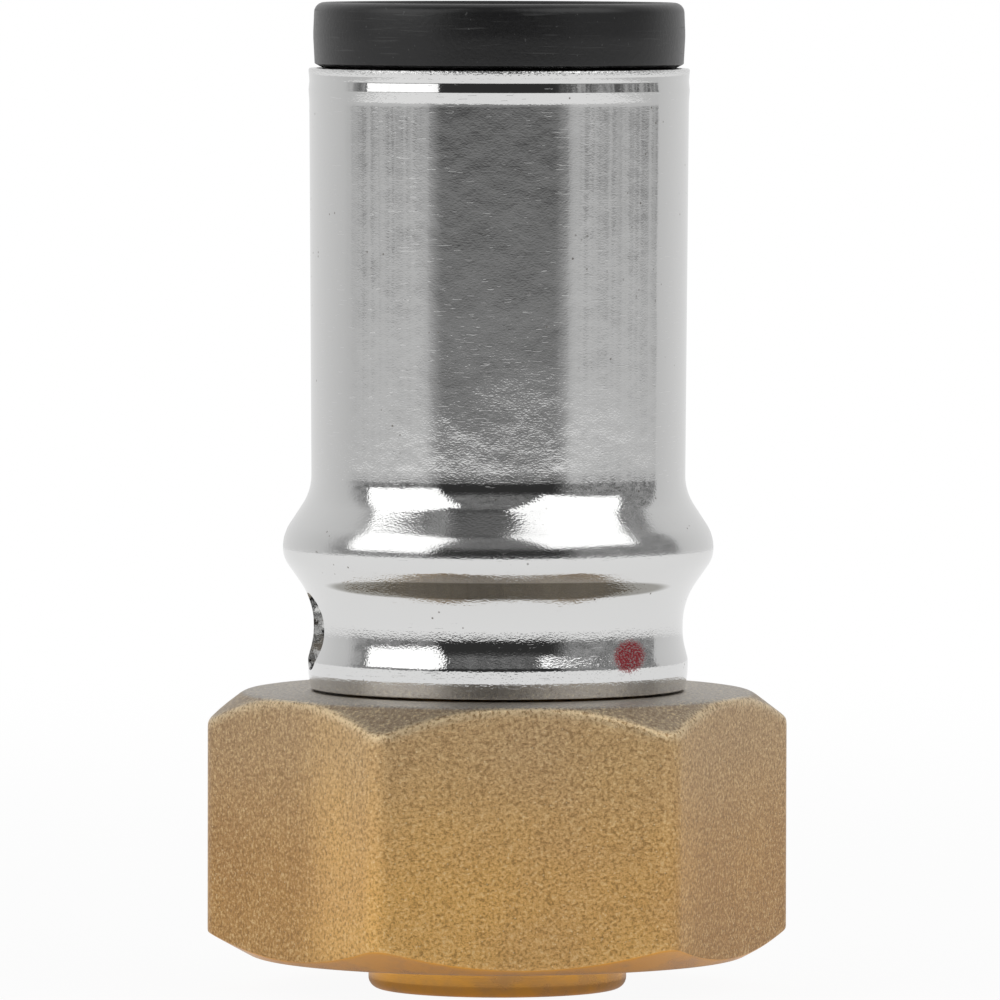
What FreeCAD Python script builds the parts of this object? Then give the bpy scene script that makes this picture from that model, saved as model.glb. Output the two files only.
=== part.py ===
import FreeCAD, Part
import math
import os
import re
import Sketcher
from FreeCAD import Placement, Rotation, Vector

# Brass press coupling: a press socket for multilayer pipe above, a swivelling union nut below.
# It stands on its nose. The origin is the centre of the nose's end face and +Z runs up the bore.

# Driving sizes in millimetres and degrees, each with what it measures
SIZES = {
    # swivel nut
    "nose_reach": (1.6, "how far the nose stands out below the nut"),
    "nut_height": (12.95, "height of the nut"),
    "nut_width": (25.0, "width of the nut across its flats"),
    "nut_corner_round": (1.5, "rounding of the nut's six upright edges"),
    "nut_turn": (6.0, "turn of the nut's corners from +X"),
    "top_inset": (0.15, "how far the top face's edge lies inside the nut's flats"),
    "top_chamfer": (1.4, "height of the top chamfer at the corners"),
    "bottom_inset": (0.5, "how far the lower face's edge lies inside the nut's flats"),
    "bottom_chamfer": (1.2, "height of the bottom chamfer at the corners"),
    "thread_radius": (9.315, "core radius of the half-inch pipe thread"),
    "thread_depth": (1.165, "height of the thread's profile"),
    "thread_length": (8.0, "length of the thread with its lead-in"),
    "relief_room": (0.1, "how far the relief behind the thread is wider than the thread"),
    "shoulder": (3.05, "thickness of the nut's inner shoulder"),
    "swivel_gap": (0.08, "running clearance between the nut's shoulder and the neck"),
    "swivel_play": (0.05, "end clearance between the nut's shoulder and the flange"),
    # brass body
    "nose_radius": (6.3, "radius of the nose"),
    "nose_length": (5.2, "straight length of the nose"),
    "nose_round": (0.55, "rounding of the nose's outer edge"),
    "cone_angle": (30.0, "slope of the sealing cone from the axis"),
    "cone_radius": (8.35, "radius at the wide end of the cone"),
    "flange_radius": (9.1, "radius of the flange that carries the nut"),
    "neck_radius": (7.6, "radius of the neck inside the nut's shoulder"),
    "seat_radius": (6.9, "radius of the seat for the sleeve's base"),
    "bead_radius": (7.3, "radius of the bead rolled over the sleeve's base"),
    "bead_height": (0.5, "height of that bead"),
    "stop_radius": (6.6, "radius of the land that carries the stop ring"),
    "edge_break": (0.3, "chamfer of the turned edges"),
    "nose_bore": (4.5, "radius of the waterway in the nose"),
    "nose_bore_depth": (12.4, "depth of the wide waterway"),
    "tail_bore": (3.75, "radius of the waterway in the hose tail"),
    # hose tail
    "tail_radius": (5.9, "radius of the hose tail, for a pipe of 12 mm inside"),
    "tail_length": (24.3, "length of the hose tail above the stop ring"),
    "tip_height": (0.9, "height of the tail's tapered tip"),
    "tip_taper": (0.5, "radial taper of that tip"),
    "tip_land": (3.4, "straight land between the tip and the upper seal groove"),
    "barb_depth": (0.4, "depth of the barbs"),
    "barb_ramp": (1.15, "height of a barb's ramp"),
    "barb_pitch": (1.6, "distance from barb to barb"),
    "upper_barbs": (3, "number of barbs between the seals"),
    "lower_barbs": (4, "number of barbs below the lower seal"),
    "barb_land": (0.8, "plain land between a seal groove and the barbs"),
    # O-rings
    "seal_section": (1.5, "thickness of an O-ring"),
    "groove_width": (1.9, "width of the O-ring grooves"),
    "tail_seal_proud": (0.2, "how far the tail's O-rings stand proud"),
    "nose_seal_proud": (0.3, "how far the nose O-ring stands proud"),
    "nose_seal_height": (2.35, "height of the nose groove's lower edge"),
    "seal_gap": (0.02, "clearance between an O-ring and its groove's floor"),
    # press sleeve
    "foot_gap": (0.1, "gap between the nut's top and the sleeve's foot"),
    "sleeve_length": (30.25, "length of the sleeve"),
    "sleeve_wall": (0.8, "thickness of the sleeve's sheet"),
    "foot_radius": (9.36, "outer radius of the foot"),
    "foot_height": (0.8, "height of the foot's upright band"),
    "foot_round": (0.3, "rounding of the foot's lower edge"),
    "waist_radius": (9.02, "outer radius of the waist"),
    "waist_height": (2.3, "height above the foot at which the flare reaches the waist"),
    "waist_round": (4.0, "radius of the curves into the waist"),
    "bulge_radius": (10.5, "outer radius of the bulge"),
    "bulge_height": (6.88, "height of the bulge's crest above the foot"),
    "crest_land": (0.04, "height of the crest's upright land"),
    "upper_crest_round": (2.2, "radius of the curve above the crest"),
    "lower_crest_round": (1.4, "radius of the curve below the crest"),
    "upper_flank": (33.0, "slope of the flank above the crest from the axis"),
    "lower_flank": (34.0, "slope of the flank below the crest from the axis"),
    "wall_radius": (9.18, "outer radius of the straight wall just above the bulge"),
    "wall_round": (1.7, "radius of the curve from the bulge into the wall"),
    "mouth_radius": (9.31, "outer radius of the wall at the mouth"),
    "lip_height": (0.85, "height of the thicker lip at the mouth"),
    "lip_proud": (0.05, "how far the lip stands proud of the wall"),
    "lip_round": (0.05, "rounding of the lip's upper edge"),
    "seat_gap": (0.03, "clearance of the sleeve's base on its seat"),
    "window_radius": (1.9, "radius of the inspection windows"),
    "window_height": (2.85, "height of the windows' centre above the foot"),
    "window_turn": (8.6, "turn of the windows' axis from X"),
    # plastic rings
    "ring_height": (3.2, "height of the guide ring above the sleeve"),
    "ring_bore": (8.1, "bore of the guide ring, for a pipe of 16 mm outside"),
    "ring_foot": (9.06, "outer radius of the guide ring at the sleeve's mouth"),
    "ring_belly": (9.14, "largest outer radius of the guide ring"),
    "ring_belly_height": (1.6, "height at which the guide ring is widest"),
    "ring_top": (9.08, "outer radius of the guide ring at its top, before the rounding"),
    "ring_round": (0.45, "rounding of the guide ring's top edge"),
    "ring_foot_round": (0.15, "rounding of the guide ring's lower edge"),
    "ring_lead": (0.35, "lead-in chamfer of the guide ring's bore"),
    "spigot_length": (3.0, "length of the guide ring's spigot inside the sleeve"),
    "spigot_gap": (0.06, "clearance between the spigot and the sleeve"),
    "spigot_taper": (0.15, "chamfer at the spigot's end"),
    "stop_ring_height": (1.2, "height of the stop ring"),
    "stop_ring_gap": (0.05, "clearance of the stop ring on its land"),
    "stop_ring_room": (0.15, "clearance between the stop ring and the sleeve's waist"),
}

# Places and sizes that follow from the driving ones
DERIVED = {
    "nut_top": "nose_reach + nut_height",
    "hex_reach": "nut_width / (2 * cos(30))",
    "corner_reach": "hex_reach - nut_corner_round * (1 / cos(30) - 1)",
    "top_circle": "nut_width / 2 - top_inset",
    "bottom_circle": "nut_width / 2 - bottom_inset",
    "top_drop": "top_chamfer * (hex_reach - top_circle) / (corner_reach - top_circle)",
    "bottom_rise": "bottom_chamfer * (hex_reach - bottom_circle) / (corner_reach - bottom_circle)",
    "shoulder_underside": "nut_height - shoulder",
    "thread_mouth": "thread_radius + thread_depth",
    "relief_radius": "thread_mouth + relief_room",
    "flange_top": "nut_top - shoulder - swivel_play",
    "cone_top": "nose_length + (cone_radius - nose_radius) / tan(cone_angle)",
    "bore_step": "nose_bore_depth + nose_bore - tail_bore",
    "sleeve_bottom": "nut_top + foot_gap",
    "sleeve_top": "sleeve_bottom + sleeve_length",
    "base_top": "sleeve_bottom + sleeve_wall",
    "bead_top": "base_top + bead_height",
    "stop_top": "bead_top + stop_ring_height",
    "tail_top": "stop_top + tail_length",
    "nose_seal_floor": "nose_radius + nose_seal_proud - seal_section",
    "tail_seal_floor": "tail_radius + tail_seal_proud - seal_section",
    "upper_seal_bottom": "tail_top - tip_height - tip_land - groove_width",
    "upper_barb_top": "upper_seal_bottom - barb_land",
    "lower_seal_bottom": "upper_barb_top - upper_barbs * barb_pitch - groove_width",
    "lower_barb_top": "lower_seal_bottom - barb_land",
    "bulge_level": "sleeve_bottom + bulge_height",
    "upper_crest": "bulge_level + crest_land / 2 + upper_crest_round * tan(upper_flank / 2)",
    "lower_crest": "bulge_level - crest_land / 2 - lower_crest_round * tan(lower_flank / 2)",
    "waist_top": "lower_crest - (bulge_radius - waist_radius) / tan(lower_flank)",
    "wall_bottom": "upper_crest + (bulge_radius - wall_radius) / tan(upper_flank)",
    "lip_bottom": "sleeve_top - lip_height",
    "lip_radius": "mouth_radius + lip_proud",
    "spigot_radius": "mouth_radius - sleeve_wall - spigot_gap",
    "spigot_bottom": "sleeve_top - spigot_length",
}

WORD = re.compile(r"[a-z]+(_[a-z]+)*")
NEAR = 1e-4

doc = FreeCAD.newDocument("press_coupling")
sheet = doc.addObject("Spreadsheet::Sheet", "Sizes")
for row, (alias, (size, meaning)) in enumerate(SIZES.items(), start=1):
    sheet.set(f"A{row}", meaning)
    sheet.set(f"B{row}", str(size))
    sheet.setAlias(f"B{row}", alias)
doc.recompute()


def linked(formula):
    """Turn a formula over the names above into an expression over the sheet's cells."""
    def link(word):
        name = word.group()
        if name in DERIVED:
            return f"({linked(DERIVED[name])})"
        return f"Sizes.{name}" if name in SIZES else name
    return WORD.sub(link, formula)


def worth(formula):
    """The value that a formula has now."""
    return float(sheet.evalExpression(linked(formula)))


def new_body(label):
    """A piece of its own, with the name that its file gets."""
    body = doc.addObject("PartDesign::Body", label)
    body.Label = label
    return body


def origin_part(body, role):
    """One of the body's own origin planes or axes."""
    return next(part for part in body.Origin.OriginFeatures if part.Role == role)


def new_sketch(body, name, plane):
    sketch = body.newObject("Sketcher::SketchObject", name)
    sketch.AttachmentSupport = [(origin_part(body, plane), "")]
    sketch.MapMode = "FlatFace"
    return sketch


def rounding(before, corner, after, radius):
    """The arc that rounds a corner, as its centre and the points where it meets the two sides."""
    back = (before - corner).normalize()
    ahead = (after - corner).normalize()
    half = back.getAngle(ahead) / 2
    reach = radius / math.tan(half)
    centre = corner + (back + ahead).normalize() * (radius / math.sin(half))
    return centre, corner + back * reach, corner + ahead * reach


def outline(body, name, corners, plane="XZ_Plane"):
    """A closed sketch of straight sides through corners, each (x, y) or (x, y, rounding)."""
    sketch = new_sketch(body, name, plane)
    places = [Vector(worth(corner[0]), worth(corner[1]), 0) for corner in corners]
    count = len(corners)
    arrive = list(places)
    leave = list(places)
    arcs = {}
    for here, corner in enumerate(corners):
        if len(corner) == 3:
            radius = worth(corner[2])
            around = places[here - 1], places[here], places[(here + 1) % count]
            centre, arrive[here], leave[here] = rounding(*around, radius)
            left_turn = (around[1] - around[0]).cross(around[2] - around[1]).z > 0
            first, last = (arrive[here], leave[here]) if left_turn else (leave[here], arrive[here])
            begin = math.atan2(first.y - centre.y, first.x - centre.x)
            end = math.atan2(last.y - centre.y, last.x - centre.x)
            circle = Part.Circle(centre, Vector(0, 0, 1), radius)
            arcs[here] = Part.ArcOfCircle(circle, begin, end), left_turn

    sides = [Part.LineSegment(leave[here], arrive[(here + 1) % count]) for here in range(count)]
    sketch.addGeometry(sides, False)
    constraints = []
    bound = {}

    def bind(kind, target, label, formula):
        bound[len(constraints)] = (label, formula)
        constraints.append(Sketcher.Constraint(kind, *target, worth(formula)))

    for here, corner in enumerate(corners):
        before = (here - 1) % count
        if here in arcs:
            arc, left_turn = arcs[here]
            bend = sketch.addGeometry(arc, False)
            point = sketch.addGeometry(Part.Point(places[here]), True)
            first, last = (1, 2) if left_turn else (2, 1)
            constraints.append(Sketcher.Constraint("Tangent", before, 2, bend, first))
            constraints.append(Sketcher.Constraint("Tangent", bend, last, here, 1))
            constraints.append(Sketcher.Constraint("PointOnObject", point, 1, before))
            constraints.append(Sketcher.Constraint("PointOnObject", point, 1, here))
            bind("Radius", (bend,), f"round_{here}", corner[2])
            spot = (point, 1)
        else:
            constraints.append(Sketcher.Constraint("Coincident", before, 2, here, 1))
            spot = (here, 1)
        bind("DistanceX", (-1, 1, *spot), f"x_{here}", corner[0])
        bind("DistanceY", (-1, 1, *spot), f"y_{here}", corner[1])
    sketch.addConstraint(constraints)
    for index, (label, formula) in bound.items():
        sketch.renameConstraint(index, label)
        sketch.setExpression(f"Constraints.{label}", linked(formula))
    doc.recompute()
    return sketch


def face_at(feature, level):
    """Name of the flat face of a feature that lies at a height."""
    faces = enumerate(feature.Shape.Faces, start=1)
    height = worth(level)
    return next(f"Face{number}" for number, face in faces
                if abs(face.BoundBox.ZMin - height) + abs(face.BoundBox.ZMax - height) < NEAR)


def circle_at(feature, radius, level):
    """Name of the full circular edge of a feature that has a radius and a height."""
    edges = enumerate(feature.Shape.Edges, start=1)
    size = worth(radius)
    height = worth(level)
    return next(f"Edge{number}" for number, edge in edges
                if abs(edge.BoundBox.ZMin - height) + abs(edge.BoundBox.ZMax - height) < NEAR
                and abs(edge.BoundBox.XMax - size) < NEAR)


def turned(body, name, corners, kind="PartDesign::Revolution"):
    """An outline of radii and heights turned about the body's axis, to add or to cut."""
    sketch = outline(body, f"{name}_outline", corners)
    feature = body.newObject(kind, name)
    feature.Profile = (sketch, [""])
    feature.ReferenceAxis = (sketch, ["V_Axis"])
    feature.Angle = 360
    doc.recompute()
    return feature


def cut(body, name, corners):
    """A turned cut, which has to take something away."""
    before = body.Shape.Volume
    feature = turned(body, name, corners, "PartDesign::Groove")
    if body.Shape.Volume >= before:
        raise RuntimeError(f"{name} cuts nothing")
    return feature


def ring_groove(body, name, floor, surface, bottom):
    """A square groove for an O-ring, cut from the surface down to the floor."""
    top = f"{bottom} + groove_width"
    outside = f"{surface} + seal_section"
    return cut(body, name, [(floor, bottom), (outside, bottom), (outside, top), (floor, top)])


def barbs(body, name, top, number):
    """Saw-tooth barbs that let a pipe on and hold it, in a row down from the top."""
    tooth = cut(body, f"{name}_tooth", [
        ("tail_radius - barb_depth", top),
        ("tail_radius + barb_depth", f"{top} - 2 * barb_ramp"),
        ("tail_radius + barb_depth", top),
    ])
    before = body.Shape.Volume
    row = body.newObject("PartDesign::LinearPattern", name)
    row.Originals = [tooth]
    row.Direction = (origin_part(body, "Z_Axis"), [""])
    row.Reversed = True
    row.Mode = "Spacing"
    row.setExpression("Offset", linked("barb_pitch"))
    row.setExpression("Occurrences", linked(number))
    body.Tip = row
    doc.recompute()
    if body.Shape.Volume >= before:
        raise RuntimeError(f"{name} cuts nothing")


def turn_about_axis(body, angle, rise="0"):
    """Turn a piece about the bore's axis and lift it, with the angle and height kept on the sheet."""
    body.Placement = Placement(Vector(0, 0, worth(rise)), Rotation(Vector(0, 0, 1), worth(angle)))
    body.setExpression("Placement.Base.z", linked(rise))
    body.setExpression("Placement.Rotation.Angle", linked(angle))


def make_brass_body():
    """Nose, sealing cone, nut flange, neck, sleeve seat and hose tail, turned in one piece."""
    body = new_body("brass_body")
    turned(body, "bar_work", [
        ("nose_bore + edge_break", "0"),
        ("nose_radius", "0", "nose_round"),
        ("nose_radius", "nose_length"),
        ("cone_radius", "cone_top"),
        ("flange_radius - edge_break", "cone_top"),
        ("flange_radius", "cone_top + edge_break"),
        ("flange_radius", "flange_top"),
        ("neck_radius", "flange_top"),
        ("neck_radius", "sleeve_bottom"),
        ("seat_radius", "sleeve_bottom"),
        ("seat_radius", "base_top"),
        ("bead_radius", "base_top"),
        ("bead_radius", "bead_top"),
        ("stop_radius", "bead_top"),
        ("stop_radius", "stop_top"),
        ("tail_radius", "stop_top"),
        ("tail_radius", "tail_top - tip_height"),
        ("tail_radius - tip_taper", "tail_top"),
        ("tail_bore + edge_break", "tail_top"),
        ("tail_bore", "tail_top - edge_break"),
        ("tail_bore", "bore_step"),
        ("nose_bore", "nose_bore_depth"),
        ("nose_bore", "edge_break"),
    ])
    ring_groove(body, "nose_groove", "nose_seal_floor", "nose_radius", "nose_seal_height")
    ring_groove(body, "upper_groove", "tail_seal_floor", "tail_radius", "upper_seal_bottom")
    ring_groove(body, "lower_groove", "tail_seal_floor", "tail_radius", "lower_seal_bottom")
    barbs(body, "upper_row", "upper_barb_top", "upper_barbs")
    barbs(body, "lower_row", "lower_barb_top", "lower_barbs")
    return body


def make_o_ring(label, floor, groove_bottom):
    """An O-ring that lies in the middle of its groove."""
    ring = doc.addObject("Part::Torus", label)
    ring.Label = label
    ring.setExpression("Radius1", linked(f"{floor} + seal_gap + seal_section / 2"))
    ring.setExpression("Radius2", linked("seal_section / 2"))
    ring.setExpression("Placement.Base.z", linked(f"{groove_bottom} + groove_width / 2"))
    return ring


def make_press_sleeve():
    """Stainless sleeve rolled from one tube: turned-in base, waist, bulge and straight wall."""
    body = new_body("press_sleeve")
    form = turned(body, "form", [
        ("0", "sleeve_bottom"),
        ("foot_radius", "sleeve_bottom"),
        ("foot_radius", "sleeve_bottom + foot_height"),
        ("waist_radius", "sleeve_bottom + waist_height", "waist_round"),
        ("waist_radius", "waist_top", "waist_round"),
        ("bulge_radius", "lower_crest", "lower_crest_round"),
        ("bulge_radius", "upper_crest", "upper_crest_round"),
        ("wall_radius", "wall_bottom", "wall_round"),
        ("mouth_radius", "sleeve_top"),
        ("0", "sleeve_top"),
    ])
    ends = [face_at(form, "sleeve_bottom"), face_at(form, "sleeve_top")]
    before = body.Shape.Volume
    shell = body.newObject("PartDesign::Thickness", "sheet")
    shell.Base = (form, ends)
    shell.setExpression("Value", linked("sleeve_wall"))
    shell.Reversed = True
    shell.Join = "Arc"
    doc.recompute()
    if body.Shape.Volume >= before:
        raise RuntimeError("the sleeve is not hollow")

    base = turned(body, "base", [
        ("seat_radius + seat_gap", "sleeve_bottom"),
        ("foot_radius - sleeve_wall / 2", "sleeve_bottom"),
        ("foot_radius - sleeve_wall / 2", "base_top"),
        ("seat_radius + seat_gap", "base_top"),
    ])
    bend = body.newObject("PartDesign::Fillet", "foot_bend")
    bend.Base = (base, [circle_at(base, "foot_radius", "sleeve_bottom")])
    bend.setExpression("Radius", linked("foot_round"))
    doc.recompute()
    turned(body, "mouth_lip", [
        ("mouth_radius - lip_proud", "lip_bottom"),
        ("lip_radius", "lip_bottom"),
        ("lip_radius", "sleeve_top", "lip_round"),
        ("mouth_radius - lip_proud", "sleeve_top"),
    ])

    drill = new_sketch(body, "window_circle", "YZ_Plane")
    centre = Vector(0, worth("sleeve_bottom + window_height"), 0)
    circle = Part.Circle(centre, Vector(0, 0, 1), worth("window_radius"))
    drill.addGeometry(circle, False)
    drill.addConstraint([
        Sketcher.Constraint("PointOnObject", 0, 3, -2),
        Sketcher.Constraint("DistanceY", -1, 1, 0, 3, centre.y),
        Sketcher.Constraint("Radius", 0, circle.Radius),
    ])
    drill.renameConstraint(1, "height")
    drill.renameConstraint(2, "radius")
    drill.setExpression("Constraints.height", linked("sleeve_bottom + window_height"))
    drill.setExpression("Constraints.radius", linked("window_radius"))
    before = body.Shape.Volume
    windows = body.newObject("PartDesign::Pocket", "windows")
    windows.Profile = (drill, [""])
    windows.Type = "ThroughAll"
    windows.SideType = "Symmetric"
    doc.recompute()
    if body.Shape.Volume >= before:
        raise RuntimeError("the windows cut nothing")
    turn_about_axis(body, "window_turn")
    return body


def make_guide_ring():
    """Plastic ring plugged into the sleeve's mouth, which centres the pipe."""
    body = new_body("guide_ring")
    turned(body, "moulding", [
        ("ring_bore", "spigot_bottom"),
        ("spigot_radius - spigot_taper", "spigot_bottom"),
        ("spigot_radius", "spigot_bottom + spigot_taper"),
        ("spigot_radius", "sleeve_top"),
        ("ring_foot", "sleeve_top", "ring_foot_round"),
        ("ring_belly", "sleeve_top + ring_belly_height"),
        ("ring_top", "sleeve_top + ring_height", "ring_round"),
        ("ring_bore + ring_lead", "sleeve_top + ring_height"),
        ("ring_bore", "sleeve_top + ring_height - ring_lead"),
    ])
    return body


def make_stop_ring():
    """Plastic ring on the pipe stop, which keeps the pipe's metal layer off the brass."""
    body = new_body("stop_ring")
    outer = "waist_radius - sleeve_wall - stop_ring_room"
    turned(body, "moulding", [
        ("stop_radius + stop_ring_gap", "bead_top"),
        (outer, "bead_top"),
        (outer, "stop_top"),
        ("stop_radius + stop_ring_gap", "stop_top"),
    ])
    return body


def make_swivel_nut():
    """Forged hexagon nut, drawn from its own lower face up, with chamfers, thread bore and shoulder."""
    body = new_body("swivel_nut")
    hexagon = outline(body, "hexagon", [
        (f"hex_reach * cos({turn})", f"hex_reach * sin({turn})", "nut_corner_round")
        for turn in range(0, 360, 60)
    ], "XY_Plane")
    block = body.newObject("PartDesign::Pad", "block")
    block.Profile = (hexagon, [""])
    block.setExpression("Length", linked("nut_height"))
    doc.recompute()
    cut(body, "top_cone", [
        ("top_circle", "nut_height"),
        ("hex_reach", "nut_height - top_drop"),
        ("hex_reach", "nut_height"),
    ])
    cut(body, "bottom_cone", [
        ("bottom_circle", "0"),
        ("hex_reach", "0"),
        ("hex_reach", "bottom_rise"),
    ])
    cut(body, "cavity", [
        ("0", "0"),
        ("thread_mouth", "0"),
        ("thread_radius", "thread_depth"),
        ("thread_radius", "thread_length"),
        ("relief_radius", "thread_length + relief_radius - thread_radius"),
        ("relief_radius", "shoulder_underside"),
        ("neck_radius + swivel_gap", "shoulder_underside"),
        ("neck_radius + swivel_gap", "nut_height"),
        ("0", "nut_height"),
    ])
    turn_about_axis(body, "nut_turn", "nose_reach")
    return body


def check(pieces):
    """Stop if a feature failed or a piece has no sound solid."""
    for thing in doc.Objects:
        if {"Invalid", "Error"} & set(thing.State):
            raise RuntimeError(f"{thing.Name} failed: {thing.State}")
    for piece in pieces:
        shape = piece.Shape
        if shape.isNull() or not shape.isValid() or len(shape.Solids) != 1:
            raise RuntimeError(f"{piece.Label} is not one sound solid")


pieces = [
    make_brass_body(),
    make_o_ring("nose_o_ring", "nose_seal_floor", "nose_seal_height"),
    make_o_ring("upper_tail_o_ring", "tail_seal_floor", "upper_seal_bottom"),
    make_o_ring("lower_tail_o_ring", "tail_seal_floor", "lower_seal_bottom"),
    make_press_sleeve(),
    make_guide_ring(),
    make_stop_ring(),
    make_swivel_nut(),
]
doc.recompute()
check(pieces)
os.makedirs("parts", exist_ok=True)
for piece in pieces:
    piece.Shape.exportStep(f"parts/{piece.Label}.step")
    box = piece.Shape.BoundBox
    print(f"{piece.Label}: {piece.Shape.Volume:.1f} mm3, z {box.ZMin:.2f} to {box.ZMax:.2f}, "
          f"x to {box.XMax:.2f}")
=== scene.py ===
import math

import bmesh
import bpy
import numpy as np
from bpy.props import FloatProperty, FloatVectorProperty, PointerProperty
from mathutils import Matrix, Vector


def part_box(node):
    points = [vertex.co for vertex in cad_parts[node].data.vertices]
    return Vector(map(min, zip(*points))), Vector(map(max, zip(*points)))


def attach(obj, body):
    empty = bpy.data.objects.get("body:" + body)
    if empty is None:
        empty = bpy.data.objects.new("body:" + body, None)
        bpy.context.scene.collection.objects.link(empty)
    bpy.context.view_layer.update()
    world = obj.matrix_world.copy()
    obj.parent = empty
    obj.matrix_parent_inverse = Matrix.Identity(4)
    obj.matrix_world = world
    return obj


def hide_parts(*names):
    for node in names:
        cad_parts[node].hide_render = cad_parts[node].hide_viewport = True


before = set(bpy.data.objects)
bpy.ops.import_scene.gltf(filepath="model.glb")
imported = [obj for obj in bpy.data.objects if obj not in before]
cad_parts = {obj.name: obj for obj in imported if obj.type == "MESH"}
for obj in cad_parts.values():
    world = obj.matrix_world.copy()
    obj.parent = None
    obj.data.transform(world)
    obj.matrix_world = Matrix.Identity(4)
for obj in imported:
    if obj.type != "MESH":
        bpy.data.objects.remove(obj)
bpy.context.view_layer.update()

bl_info = {
    "name": "Pipe Coupling",
    "version": (1, 0, 0),
    "blender": (4, 5, 0),
    "location": "3D View > Sidebar > Coupling",
    "description": "Builds a press coupling with a brass union nut, its finishes and its studio",
    "category": "Add Mesh",
}

MM = 0.001
FINE_STEPS = 288     # segments round a turned piece
NUT_STEPS = 360      # segments round the nut, so that its corners stay smooth
TINY = 1e-6          # tells a point on a plane from its neighbours

# Each soft box: its direction from the sleeve, its width and its height in metres
SOFT_BOXES = {
    "left": ((-0.768, -0.409, 0.492), 0.484, 0.394),
    "right": ((0.590, -0.410, 0.695), 0.50, 0.40),
}
BLACK_DUST = (0.12, 0.12, 0.12, 1.0)
PIT_BROWN = (0.16, 0.14, 0.12, 1.0)
BRASS_PIT = (0.20, 0.115, 0.045, 1.0)
BRASS_GLINT = (1.0, 0.80, 0.45, 1.0)
BRASS_SPARK = (1.0, 0.88, 0.60, 1.0)


def low(node):
    """Height of a node's lower end."""
    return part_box(node)[0].z


def high(node):
    """Height of a node's upper end."""
    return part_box(node)[1].z


# ---------------------------------------------------------------- settings

def length(name, description, millimetres):
    """A length, given in millimetres and kept in metres."""
    return FloatProperty(name=name, description=description, default=millimetres * MM,
                         min=0.0, precision=5, unit="LENGTH", subtype="DISTANCE")


def angle(name, description, degrees):
    """An angle, given in degrees and kept in radians."""
    return FloatProperty(name=name, description=description, default=math.radians(degrees),
                         unit="ROTATION", subtype="ANGLE")


def colour(name, description, red, green, blue):
    """A surface colour in linear light."""
    return FloatVectorProperty(name=name, description=description, size=3, min=0.0, max=1.0,
                               default=(red, green, blue), subtype="COLOR")


def amount(name, description, value, most=1.0):
    """A plain number, such as a roughness or a strength."""
    return FloatProperty(name=name, description=description, default=value, min=0.0, max=most,
                         subtype="FACTOR" if most == 1.0 else "NONE")


class CouplingSleeve(bpy.types.PropertyGroup):
    """Sizes of the rolled stainless sleeve."""
    wall: length("Wall", "Thickness of the sheet", 0.8)
    seat: length("Seat", "Radius of the hole in the turned-in base", 6.93)
    foot: length("Foot", "Radius of the foot at its crease", 9.25)
    foot_taper: length("Foot Taper", "How far the foot draws in under its crease", 0.10)
    foot_band: length("Foot Band", "Height of the crease over the foot", 0.78)
    foot_bend: length("Foot Bend", "Radius of the bend under the foot", 0.12)
    rim: length("Rim", "Radius of the rim over the crease", 9.27)
    rim_height: length("Rim Height", "Height of the rim's upper end over the foot", 1.444)
    rim_round: length("Rim Round", "Radius of the curve over the rim", 0.8)
    slope_height: length("Slope Height", "Where the slope to the waist would end", 2.45)
    slope_sweep: length("Slope Sweep", "Radius of the curve from the slope to the waist", 4.0)
    waist: length("Waist", "Radius of the waist", 9.02)
    waist_sweep: length("Waist Sweep", "Radius of the waist's curve", 3.5)
    crest: length("Crest", "Radius of the bulge at its crest", 10.5)
    crest_height: length("Crest Height", "Height of the crest over the foot", 6.88)
    crest_land: length("Crest Land", "Height of the crest's upright land", 0.04)
    upper_crest: length("Upper Crest", "Radius of the curve above the crest", 2.1)
    lower_crest: length("Lower Crest", "Radius of the curve below the crest", 1.4)
    upper_flank: angle("Upper Flank", "Slope of the flank above the crest", 33.0)
    lower_flank: angle("Lower Flank", "Slope of the flank below the crest", 35.0)
    barrel: length("Barrel", "Radius of the upright wall above the bulge", 9.115)
    barrel_bend: length("Barrel Bend", "Radius of the curve under the upright wall", 2.6)
    mouth: length("Mouth", "Radius of the wall at the mouth", 9.245)
    flare: length("Flare", "How far the mouth flares out", 0.04)
    flare_height: length("Flare Height", "Height of the mouth's flare", 1.65)
    lip: length("Lip", "Radius of the lip at the top", 9.295)
    lip_height: length("Lip Height", "Height of the lip above its groove", 0.62)
    lip_edge: length("Lip Edge", "Rounding of the lip's upper edge", 0.1)
    window: length("Window", "Radius of the inspection windows", 1.9)
    window_height: length("Window Height", "Height of the windows' centres over the foot", 2.85)
    window_turn: angle("Window Turn", "Turn of the windows about the axis", 8.6)
    dot_side: length("Dot Side", "How far beside the axis the ink dot sits", 6.35)
    dot_height: length("Dot Height", "Height of the ink dot over the foot", 1.98)
    line_height: length("Line Height", "Height of the dark line over the foot", 5.27)
    line_half: length("Line Half Height", "Half the height of the dark line", 0.41)
    line_reach: length("Line Reach", "Where the dark line's ends run out", 8.1)


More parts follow.
